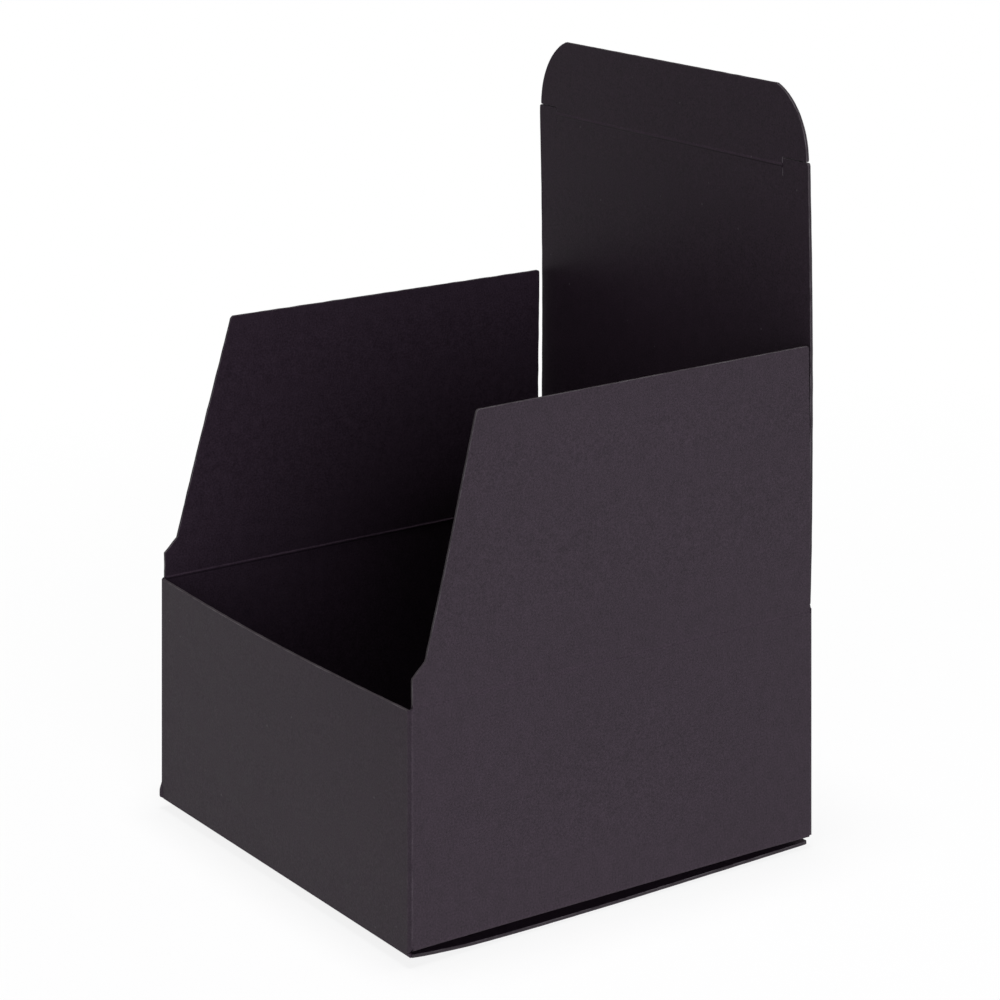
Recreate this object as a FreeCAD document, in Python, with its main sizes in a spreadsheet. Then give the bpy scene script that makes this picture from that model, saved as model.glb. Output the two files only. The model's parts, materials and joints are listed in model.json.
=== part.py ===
import FreeCAD, Part
import math
import os
import Sketcher

# Reverse-tuck folding carton, standing open.
# Frame: origin at the centre of the base on the resting plane, +Z up, +X to the right,
# front panel on the -Y side, back panel and lid on the +Y side. Millimetres.
# The lid and the two top dust flaps stand upright in line with their walls.
# The base is closed: two dust flaps folded in, the bottom panel folded under them
# from the front wall, and its tuck flap standing inside the back wall. The bottom panel
# sags below the walls, so the carton rests on the middle of it.

doc = FreeCAD.newDocument("reverse_tuck_carton")
sheet = doc.addObject("Spreadsheet::Sheet", "Dims")

DIMENSIONS = [
    # board and sleeve
    ("box_width", 120.0),        # outside, left to right
    ("box_depth", 102.5),        # outside, front to back
    ("board", 0.75),             # caliper of the paperboard
    ("fold_outer", 1.0),         # outside radius of a vertical corner fold
    ("crease_gap", 0.56),        # each panel stops this far from its crease axis
    ("front_top", 52.9),         # cut top edge of the front panel
    ("wall_foot", 3.7),          # lower edge of the side walls and corner folds
    ("back_foot", 2.0),          # cut lower edge of the back panel
    # side seam
    ("glue_skin", 0.05),         # thickness of the glue film
    ("glue_front", 37.0),        # front edge of the glue flap
    ("glue_root_foot", 4.5),     # glue flap: lower end of its rear edge
    ("glue_root_top", 52.5),     # upper end of its rear edge
    ("glue_tip_foot", 9.0),      # lower end of its front edge
    ("glue_tip_top", 48.0),      # upper end of its front edge
    ("film_inset", 1.5),         # glue film starts this far behind the flap's front edge
    ("film_depth", 10.5),        # front to back
    ("film_foot", 11.0),         # lower edge of the film
    ("film_height", 34.0),
    # lid and its tuck flap
    ("lid_axis_z", 54.5),        # crease axis of the lid
    ("lid_half", 59.0),          # half width of the lid panel
    ("lid_crease_short", 1.0),   # the lid crease is this much shorter than the panel is wide
    ("lid_reach", 99.1),         # lid crease to tuck crease
    ("slit_offset", 1.7),        # slit lock lies this far past the tuck crease
    ("slit_cut", 0.15),          # width of a slit
    ("slit_left", 50.8),         # inner end of the left slit
    ("slit_right", 48.8),        # inner end of the right slit
    ("hook_drop", 2.4),          # hooked end of each slit runs this far into the lid
    ("ear_half", 58.4),          # half width of the tuck flap at its ears
    ("tuck_height", 18.7),       # tuck crease to the free edge
    ("tuck_top_half", 46.5),     # half width of the tuck flap's straight free edge
    # top dust flaps
    ("dust_axis_z", 53.5),       # crease axis
    ("side_crease_short", 0.6),  # a side crease is this much shorter than the flat wall
    ("dust_length", 59.5),       # crease to the front end of the free edge
    ("left_dust_rear_length", 59.4),   # crease to the rear end, left flap
    ("right_dust_rear_length", 60.3),  # the right one's stands a little higher
    ("shoulder_front", 50.4),    # front shoulder
    ("shoulder_height", 6.0),    # height of the shoulder
    ("notch", 3.05),             # 45 degree notch above the shoulder
    ("left_taper_front", 33.8),  # front end of the free edge, left flap
    ("right_taper_front", 35.0), # and right flap
    ("dust_rear", 50.35),        # straight rear edge
    # bottom dust flaps
    ("base_lift", 2.4),          # outside of the side folds above the resting plane
    ("base_round", 0.5),         # radius of the side folds' outer edge
    ("base_shoulder", 47.0),     # rear shoulder
    ("base_taper_rear", 34.3),   # rear end of the free edge
    ("base_front", 50.3),        # straight front edge
    ("base_length", 58.95),      # crease to free edge
    ("base_gap", 0.12),          # the flap stops this far from its crease axis
    # bottom panel: heights of its underside and where it bends, front to back
    ("bottom_half", 59.6),       # half width
    ("tuck_lean", 6.0),          # inward lean of the bottom tuck flap, degrees
    ("sag_front", 1.6),          # height where it leaves the front fold
    ("sag_quarter", 0.4),        # height where its fall eases off
    ("sag_rear", 0.4),           # height at its rear edge; in between it rests flat
    ("sag_quarter_y", 38.0),     # the bend at sag_quarter
    ("sag_flat_front", 20.0),    # front end of the flat stretch
    ("sag_flat_rear", 20.0),     # rear end of the flat stretch
    ("lock_overrun", 1.0),       # the slit cutter runs this far past the rear edge
]
values = dict(DIMENSIONS)
for row, (alias, number) in enumerate(DIMENSIONS, start=1):
    sheet.set("A%d" % row, alias)
    sheet.set("B%d" % row, "%g" % number)
    sheet.setAlias("B%d" % row, alias)
doc.recompute()


class Size:
    """A length with its value and the spreadsheet expression that gives it."""

    def __init__(self, value, text):
        self.value, self.text = value, text

    def __add__(self, other):
        other = size(other)
        return Size(self.value + other.value, "(%s + %s)" % (self.text, other.text))

    def __sub__(self, other):
        other = size(other)
        return Size(self.value - other.value, "(%s - %s)" % (self.text, other.text))

    def __mul__(self, factor):
        return Size(self.value * factor, "(%s * %r)" % (self.text, factor))

    def __neg__(self):
        return self * -1.0


def size(number):
    return number if isinstance(number, Size) else Size(float(number), repr(float(number)))


def dim(alias):
    return Size(values[alias], "Dims.%s" % alias)


# ---------------------------------------------------------------- shared sizes
ZERO = size(0.0)
board = dim("board")
half_board = board * 0.5
gap = dim("crease_gap")
fold_radius = dim("fold_outer")

half_width = dim("box_width") * 0.5
half_depth = dim("box_depth") * 0.5
wall_x = half_width - half_board        # mid-plane of a side wall
wall_y = half_depth - half_board        # mid-plane of the front and back walls
flat_x = half_width - fold_radius       # where flat wall meets corner fold
flat_y = half_depth - fold_radius
seam_x = half_width - board - dim("glue_skin")  # outside of the glue flap
seam_flat_x = seam_x - fold_radius

wall_foot = dim("wall_foot")
dust_axis_z = dim("dust_axis_z")
side_top = dust_axis_z - gap
side_crease_length = flat_y * 2.0 - dim("side_crease_short")
lid_axis_z = dim("lid_axis_z")
bottom_axis_z = dim("sag_front") + half_board   # crease axis of the bottom panel

lid_half = dim("lid_half")
reach = dim("lid_reach")
panel_end = reach + dim("slit_offset")  # far edge of the lid or bottom panel
hook_end = reach - dim("hook_drop")
slit_left, slit_right, slit_cut = dim("slit_left"), dim("slit_right"), dim("slit_cut")

shoulder_height = dim("shoulder_height")
notch = dim("notch")
notch_top = shoulder_height + notch

FINISHED = []


# ---------------------------------------------------------------- building tools
def place(obj, x=ZERO, y=ZERO, z=ZERO, axis=(0, 0, 1), angle=0.0):
    """Puts a piece in the carton's frame, with its position bound to the sheet."""
    obj.Placement = FreeCAD.Placement(
        FreeCAD.Vector(x.value, y.value, z.value),
        FreeCAD.Rotation(FreeCAD.Vector(*axis), size(angle).value))
    for letter, amount in (("x", x), ("y", y), ("z", z)):
        obj.setExpression("Placement.Base." + letter, amount.text)
    if isinstance(angle, Size):
        obj.setExpression("Placement.Rotation.Angle", angle.text)


def origin_plane(body, role):
    for feature in body.Origin.OriginFeatures:
        if feature.Role == role:
            return feature
    raise RuntimeError("no plane " + role)


def add_arc(sketch, start, end, centre, clockwise):
    """A circular arc; the sketcher always runs it anticlockwise."""
    first, last = (end, start) if clockwise else (start, end)
    first_angle = math.atan2(first.y - centre.y, first.x - centre.x)
    last_angle = math.atan2(last.y - centre.y, last.x - centre.x)
    if last_angle <= first_angle:
        last_angle += 2 * math.pi
    circle = Part.Circle(centre, FreeCAD.Vector(0, 0, 1), (start - centre).Length)
    sketch.addGeometry(Part.ArcOfCircle(circle, first_angle, last_angle), False)


def fix(sketch, edge, vertex, kind, amount):
    """Holds one coordinate of a vertex, by the sketch's axis if the coordinate is zero."""
    if amount.value == 0.0:
        axis_line = -2 if kind == "DistanceX" else -1
        sketch.addConstraint(Sketcher.Constraint("PointOnObject", edge, vertex, axis_line))
    else:
        index = sketch.addConstraint(
            Sketcher.Constraint(kind, -1, 1, edge, vertex, amount.value))
        sketch.setExpression("Constraints[%d]" % index, amount.text)


def sketch_outline(body, role, points, arcs=None):
    """A closed outline. points are (u, v) sizes, and edge i runs from point i to the next.
    arcs maps an edge number to (centre u, centre v, clockwise)."""
    arcs = arcs or {}
    sketch = body.newObject("Sketcher::SketchObject", body.Name + "_outline")
    sketch.AttachmentSupport = [(origin_plane(body, role), "")]
    sketch.MapMode = "FlatFace"
    count = len(points)
    corners = [FreeCAD.Vector(u.value, v.value, 0) for u, v in points]
    for i, start in enumerate(corners):
        end = corners[(i + 1) % count]
        if i in arcs:
            centre_u, centre_v, clockwise = arcs[i]
            centre = FreeCAD.Vector(centre_u.value, centre_v.value, 0)
            add_arc(sketch, start, end, centre, clockwise)
        else:
            sketch.addGeometry(Part.LineSegment(start, end), False)

    # vertex number at which each edge starts, in drawing order
    heads = [2 if i in arcs and arcs[i][2] else 1 for i in range(count)]
    for i in range(count):
        following = (i + 1) % count
        sketch.addConstraint(Sketcher.Constraint(
            "Coincident", i, 3 - heads[i], following, heads[following]))
    for i, (u, v) in enumerate(points):
        fix(sketch, i, heads[i], "DistanceX", u)
        fix(sketch, i, heads[i], "DistanceY", v)
    for i, (centre_u, centre_v, _) in arcs.items():
        # the arc's ends are fixed, so its centre lies on their bisector
        # and one coordinate settles it
        if abs(corners[(i + 1) % count].x - corners[i].x) < 1e-9:
            fix(sketch, i, 3, "DistanceX", centre_u)
        else:
            fix(sketch, i, 3, "DistanceY", centre_v)
    sketch.Visibility = False
    return sketch


def plate(label, role, points, depth, arcs=None, midplane=True, **where):
    """A body padded from an outline, by default evenly to both sides of its plane."""
    body = doc.addObject("PartDesign::Body", label)
    body.Label = label
    sketch = sketch_outline(body, role, points, arcs)
    pad = body.newObject("PartDesign::Pad", label + "_pad")
    pad.Profile = sketch
    if midplane:
        pad.Midplane = True
    pad.Length = depth.value
    pad.setExpression("Length", depth.text)
    body.Tip = pad
    place(body, **where)
    FINISHED.append(body)
    return body


def rectangle(left, right, low, high):
    return [(left, low), (right, low), (right, high), (left, high)]


# Bead profiles, by the side on which the fixed panel lies: (u, v) from the crease axis.
# Edge 2 is the round nose.
BEADS = {
    "below": [(-half_board, -gap), (half_board, -gap), (half_board, ZERO), (-half_board, ZERO)],
    "above": [(half_board, gap), (-half_board, gap), (-half_board, ZERO), (half_board, ZERO)],
    "front": [(-gap, half_board), (-gap, -half_board), (ZERO, -half_board), (ZERO, half_board)],
}


def bead(label, role, length, panel_side, **where):
    """A score bead: a strip from the fixed panel's edge, with its nose on the crease axis."""
    plate(label, role, BEADS[panel_side], length, {2: (ZERO, ZERO, False)}, **where)


def tuck_flap(label, left, right, **where):
    """Tuck flap: narrow root between the slits, ears, two large corner arcs and a
    straight free edge. Each arc leaves its ear upright and meets the edge at an angle."""
    ear, top, top_half = dim("ear_half"), dim("tuck_height"), dim("tuck_top_half")
    ear_foot = dim("slit_offset") + slit_cut
    rise = top.value - ear_foot.value
    inset = ear.value - top_half.value
    radius = (rise ** 2 + inset ** 2) / (2 * inset)
    centre_x = size(ear.value - radius)
    points = [(-left, gap), (right, gap), (right, ear_foot), (ear, ear_foot),
              (top_half, top), (-top_half, top), (-ear, ear_foot), (-left, ear_foot)]
    arcs = {3: (centre_x, ear_foot, False), 5: (-centre_x, ear_foot, False)}
    plate(label, "XZ_Plane", points, board, arcs, **where)


# ---------------------------------------------------------------- sleeve
def build_walls():
    plate("front_panel", "XZ_Plane",
          rectangle(-flat_x, flat_x, bottom_axis_z + gap, dim("front_top")),
          board, y=-wall_y)
    plate("right_side_panel", "YZ_Plane",
          rectangle(-flat_y, flat_y, wall_foot, side_top), board, x=wall_x)
    # the left wall ends in a raw edge at the back corner, over the glue flap
    plate("left_side_panel", "YZ_Plane",
          rectangle(-flat_y, half_depth, wall_foot, side_top), board, x=-wall_x)
    plate("back_panel", "XZ_Plane",
          rectangle(-seam_flat_x, flat_x, dim("back_foot"), lid_axis_z - gap),
          board, y=wall_y)


def build_corner_folds():
    """Quarter rings of board, standing in the four corners."""
    inner = fold_radius - board
    profile = [(inner, ZERO), (fold_radius, ZERO), (ZERO, fold_radius), (ZERO, inner)]
    arcs = {1: (ZERO, ZERO, False), 3: (ZERO, ZERO, True)}
    for corner, x, y, turn in (("rear_right", flat_x, flat_y, 0.0),
                               ("rear_left", -seam_flat_x, flat_y, 90.0),
                               ("front_left", -flat_x, -flat_y, 180.0),
                               ("front_right", flat_x, -flat_y, 270.0)):
        plate("fold_" + corner, "XY_Plane", profile, side_top - wall_foot, arcs,
              midplane=False, x=x, y=y, z=wall_foot, angle=turn)


def build_seam():
    """The glue flap inside the left wall, and the glue film between them."""
    glue_front = dim("glue_front")
    plate("glue_flap", "YZ_Plane",
          [(flat_y, dim("glue_root_foot")), (flat_y, dim("glue_root_top")),
           (glue_front, dim("glue_tip_top")), (glue_front, dim("glue_tip_foot"))],
          board, x=-(seam_x - half_board))

    film = doc.addObject("Part::Box", "seam_glue")
    film.Label = "seam_glue"
    for name, alias in (("Length", "glue_skin"), ("Width", "film_depth"),
                        ("Height", "film_height")):
        setattr(film, name, dim(alias).value)
        film.setExpression(name, dim(alias).text)
    place(film, x=-(half_width - board), y=glue_front + dim("film_inset"), z=dim("film_foot"))
    FINISHED.append(film)


# ---------------------------------------------------------------- top
def build_lid():
    bead("lid_crease", "YZ_Plane", lid_half * 2.0 - dim("lid_crease_short"), "below",
         y=wall_y, z=lid_axis_z)

    # (x, height above the lid crease), anticlockwise from the lower left corner
    right_cut, left_cut = slit_right + slit_cut, slit_left + slit_cut
    outline = [
        (-lid_half, gap), (lid_half, gap), (lid_half, panel_end),
        (right_cut, panel_end), (right_cut, hook_end), (slit_right, hook_end),
        (slit_right, reach - gap), (-slit_left, reach - gap),
        (-slit_left, hook_end), (-left_cut, hook_end), (-left_cut, panel_end),
        (-lid_half, panel_end),
    ]
    plate("lid_panel", "XZ_Plane", outline, board, y=wall_y, z=lid_axis_z)

    tuck_axis_z = lid_axis_z + reach
    bead("lid_tuck_crease", "YZ_Plane", slit_left + slit_right, "below",
         x=(slit_right - slit_left) * 0.5, y=wall_y, z=tuck_axis_z)
    tuck_flap("lid_tuck_flap", slit_left, slit_right, y=wall_y, z=tuck_axis_z)


def build_top_dust_flaps():
    shoulder, rear = dim("shoulder_front"), dim("dust_rear")
    for side, sign in (("left", -1.0), ("right", 1.0)):
        # (y, height above the crease)
        outline = [(-shoulder, gap), (rear, gap), (rear, dim(side + "_dust_rear_length")),
                   (-dim(side + "_taper_front"), dim("dust_length")),
                   (-(shoulder - notch), notch_top), (-shoulder, shoulder_height)]
        bead(side + "_dust_crease", "XZ_Plane", side_crease_length, "below",
             x=wall_x * sign, z=dust_axis_z)
        plate(side + "_dust_flap", "YZ_Plane", outline, board, x=wall_x * sign, z=dust_axis_z)


# ---------------------------------------------------------------- base
def build_bottom_panel():
    bead("bottom_crease", "YZ_Plane", flat_x * 2.0, "above", y=-wall_y, z=bottom_axis_z)

    bottom_half = dim("bottom_half")
    rear_y = -wall_y + panel_end
    # (y, z), front to back
    underside = [(-wall_y + gap, dim("sag_front")),
                 (-dim("sag_quarter_y"), dim("sag_quarter")),
                 (-dim("sag_flat_front"), ZERO),
                 (dim("sag_flat_rear"), ZERO),
                 (rear_y, dim("sag_rear"))]
    upper = [(y, z + board) for y, z in reversed(underside)]
    bottom = plate("bottom_panel", "YZ_Plane", underside + upper, bottom_half * 2.0)

    # the slit lock at its rear end, and the opening between the slits
    # where the tuck flap turns up
    slit = slit_left + (bottom_half - lid_half)
    slit_outer = slit + slit_cut
    tuck_y = -wall_y + reach
    hook_y = tuck_y - dim("hook_drop")
    beyond = rear_y + dim("lock_overrun")
    lock = sketch_outline(bottom, "XY_Plane", [
        (-slit, tuck_y - gap), (-slit, hook_y), (-slit_outer, hook_y), (-slit_outer, beyond),
        (slit_outer, beyond), (slit_outer, hook_y), (slit, hook_y), (slit, tuck_y - gap)])
    pocket = bottom.newObject("PartDesign::Pocket", "bottom_panel_lock")
    pocket.Profile = lock
    pocket.Type = 1  # through all
    pocket.Midplane = True
    bottom.Tip = pocket

    # the underside has almost reached its rear height at the tuck crease
    tuck_z = dim("sag_rear") * 0.95 + half_board
    bead("bottom_tuck_crease", "YZ_Plane", slit * 2.0, "front", y=tuck_y, z=tuck_z)
    tuck_flap("bottom_tuck_flap", slit, slit,
              y=tuck_y, z=tuck_z, axis=(1, 0, 0), angle=dim("tuck_lean"))


def build_bottom_side_folds():
    """A short foot of each side wall with a rounded outer edge."""
    foot, radius = dim("base_lift"), dim("base_round")
    for side, sign in (("left", -1.0), ("right", 1.0)):
        outer = half_width * sign
        inside = (half_width - board) * sign
        rounded = (half_width - radius) * sign
        points = [(inside, foot), (rounded, foot), (outer, foot + radius),
                  (outer, wall_foot), (inside, wall_foot)]
        arcs = {1: (rounded, foot + radius, sign < 0)}
        plate(side + "_bottom_dust_crease", "XZ_Plane", points, side_crease_length, arcs)


def build_bottom_dust_flaps():
    near, far = dim("base_gap"), dim("base_length")
    front, shoulder = dim("base_front"), dim("base_shoulder")
    # inward is the sign of x from the wall towards the middle
    for side, inward in (("left", 1.0), ("right", -1.0)):
        points = [(near * inward, -front), (far * inward, -front),
                  (far * inward, dim("base_taper_rear")),
                  (notch_top * inward, shoulder - notch),
                  (shoulder_height * inward, shoulder), (near * inward, shoulder)]
        plate(side + "_bottom_dust_flap", "XY_Plane", points, board,
              x=(half_width - board) * -inward, z=dim("base_lift") + half_board)


# ---------------------------------------------------------------- check and write
def check():
    for obj in doc.Objects:
        if "Invalid" in obj.State or "Error" in obj.State:
            raise RuntimeError("%s did not recompute: %s" % (obj.Name, obj.State))
    for obj in FINISHED:
        shape = obj.Shape
        if (shape.isNull() or not shape.isValid() or len(shape.Solids) != 1
                or shape.Volume <= 0):
            raise RuntimeError("%s has no valid solid" % obj.Label)


build_walls()
build_corner_folds()
build_seam()
build_lid()
build_top_dust_flaps()
build_bottom_panel()
build_bottom_side_folds()
build_bottom_dust_flaps()
doc.recompute()
check()

os.makedirs("parts", exist_ok=True)
for obj in FINISHED:
    obj.Shape.exportStep("parts/%s.step" % obj.Label)
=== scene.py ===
import json
import math

import bmesh
import bpy
import numpy as np
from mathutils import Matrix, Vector
from mathutils.geometry import delaunay_2d_cdt

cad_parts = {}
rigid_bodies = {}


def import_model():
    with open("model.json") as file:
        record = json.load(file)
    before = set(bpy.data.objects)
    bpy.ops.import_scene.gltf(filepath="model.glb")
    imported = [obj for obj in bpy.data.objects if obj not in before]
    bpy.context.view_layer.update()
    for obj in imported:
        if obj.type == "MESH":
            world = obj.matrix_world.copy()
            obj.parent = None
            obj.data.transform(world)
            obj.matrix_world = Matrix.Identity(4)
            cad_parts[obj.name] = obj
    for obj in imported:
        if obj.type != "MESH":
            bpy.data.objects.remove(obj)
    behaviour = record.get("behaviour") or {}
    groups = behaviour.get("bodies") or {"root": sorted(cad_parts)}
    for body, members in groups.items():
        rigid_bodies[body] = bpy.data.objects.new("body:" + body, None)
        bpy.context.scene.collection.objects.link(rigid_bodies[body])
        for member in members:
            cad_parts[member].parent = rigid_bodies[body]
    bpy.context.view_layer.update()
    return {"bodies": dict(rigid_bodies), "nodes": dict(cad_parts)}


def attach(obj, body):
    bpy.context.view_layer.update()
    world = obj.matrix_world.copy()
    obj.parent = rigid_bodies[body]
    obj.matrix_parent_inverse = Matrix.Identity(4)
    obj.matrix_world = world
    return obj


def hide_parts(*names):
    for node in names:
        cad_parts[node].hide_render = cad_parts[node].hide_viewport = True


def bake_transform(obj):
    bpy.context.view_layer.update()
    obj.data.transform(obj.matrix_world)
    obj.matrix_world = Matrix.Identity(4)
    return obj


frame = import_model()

# A black reverse-tuck carton standing open. All shapes below are in millimetres in the
# CAD frame (origin at the centre of the base, +Z up, front on -Y) and are scaled once.
MM = 0.001
T = 0.75            # board caliper
H = T / 2
S = 0.56            # a panel stops this far from its crease axis
BEVEL = 0.085       # rounding of a die-cut edge


# ------------------------------------------------------------------ sheet geometry
def unit(v):
    v = np.asarray(v, float)
    return v / np.linalg.norm(v)


class Plane:
    """A panel's mid-plane: u and v lie in the board, n = u x v points through it."""

    def __init__(self, origin, u, v):
        self.o = np.array(origin, float)
        self.u, self.v = unit(u), unit(v)
        self.n = np.cross(self.u, self.v)

    def at(self, uv, w):
        uv = np.asarray(uv, float)
        return (self.o + uv[:, :1] * self.u + uv[:, 1:2] * self.v
                + np.asarray(w, float)[:, None] * self.n)


def turn_points(p, d1, d2, r):
    """Points of a fillet of radius r at corner p between directions d1 and d2."""
    cross = d1[0] * d2[1] - d1[1] * d2[0]
    theta = math.atan2(abs(cross), float(d1 @ d2))
    reach = r * math.tan(theta / 2)
    side = 1.0 if cross > 0 else -1.0
    normal = np.array([-d1[1], d1[0]]) * side
    start = p - d1 * reach
    centre = start + normal * r
    count = max(2, int(math.ceil(math.degrees(theta) / 15.0)))
    out = []
    for i in range(count + 1):
        a = theta * i / count * side
        c, s = math.cos(a), math.sin(a)
        rel = start - centre
        out.append(centre + np.array([rel[0] * c - rel[1] * s, rel[0] * s + rel[1] * c]))
    return out


def trace(corners, step):
    """Outline points and the kind of edge that leaves each: 'c' a die cut, 'j' a join to the next strip."""
    n = len(corners)
    full = [(np.array(c[:2], float), c[2], c[3] if len(c) > 3 else 0.0) for c in corners]
    pts, kinds = [], []
    for i, (p, kind, r) in enumerate(full):
        before, after = full[i - 1], full[(i + 1) % n]
        if r > 0 and kind == "c" and before[1] == "c":
            for q in turn_points(p, unit(p - before[0]), unit(after[0] - p), r):
                pts.append(q)
                kinds.append("c")
        else:
            pts.append(p)
            kinds.append(kind)
    out, out_kinds = [], []
    for i, p in enumerate(pts):
        q = pts[(i + 1) % len(pts)]
        pieces = max(1, int(math.ceil(np.linalg.norm(q - p) / step)))
        for k in range(pieces):
            out.append(p + (q - p) * k / pieces)
            out_kinds.append(kinds[i])
    return out, out_kinds


def wander(count, length, seed, amount):
    """A smooth periodic wander along an outline, for the slight raggedness of a die cut."""
    rng = np.random.default_rng(seed)
    s = np.linspace(0, 2 * math.pi, count, endpoint=False)
    total = np.zeros(count)
    for _ in range(10):
        wave = rng.uniform(2.2, 9.0)
        k = max(1, int(round(length / wave)))
        total += rng.normal() * np.sin(k * s + rng.uniform(0, 6.28))
    return amount * total / 3.2


def inside(points, ring):
    x, y = points[:, 0], points[:, 1]
    ok = np.zeros(len(points), bool)
    for a, b in zip(ring, np.roll(ring, -1, axis=0)):
        hit = (a[1] > y) != (b[1] > y)
        with np.errstate(divide="ignore", invalid="ignore"):
            cut = (b[0] - a[0]) * (y - a[1]) / (b[1] - a[1]) + a[0]
        ok ^= hit & (x < cut)
    return ok


def clearance(points, ring):
    best = np.full(len(points), 1e9)
    for a, b in zip(ring, np.roll(ring, -1, axis=0)):
        d = b - a
        length = d @ d
        if length < 1e-12:
            continue
        t = np.clip(((points - a) @ d) / length, 0, 1)
        best = np.minimum(best, np.linalg.norm(points - (a + t[:, None] * d), axis=1))
    return best


def finish_mesh(name, verts, faces, groups, attributes):
    """A closed smooth-shaded mesh whose flat faces keep crisp borders."""
    mesh = bpy.data.meshes.new(name)
    mesh.from_pydata((np.asarray(verts) * MM).tolist(), [], faces)
    mesh.validate()
    obj = bpy.data.objects.new(name, mesh)
    bpy.context.scene.collection.objects.link(obj)
    layer = mesh.attributes.new("group", "INT", "FACE")
    layer.data.foreach_set("value", np.array(groups, np.int32))
    for key, values in attributes.items():
        a = mesh.attributes.new(key, "FLOAT", "POINT")
        a.data.foreach_set("value", np.asarray(values, np.float32))
    bm = bmesh.new()
    bm.from_mesh(mesh)
    bmesh.ops.recalc_face_normals(bm, faces=bm.faces)
    group = bm.faces.layers.int.get("group")
    open_edges = 0
    for e in bm.edges:
        if len(e.link_faces) != 2:
            open_edges += 1
            continue
        a, b = e.link_faces
        e.smooth = a[group] == b[group] and e.calc_face_angle(0.0) < math.radians(50)
    for f in bm.faces:
        f.smooth = True
    bm.to_mesh(mesh)
    bm.free()
    mesh.attributes.remove(mesh.attributes["group"])
    if open_edges:
        print("open edges", name, open_edges)
    return obj


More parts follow.
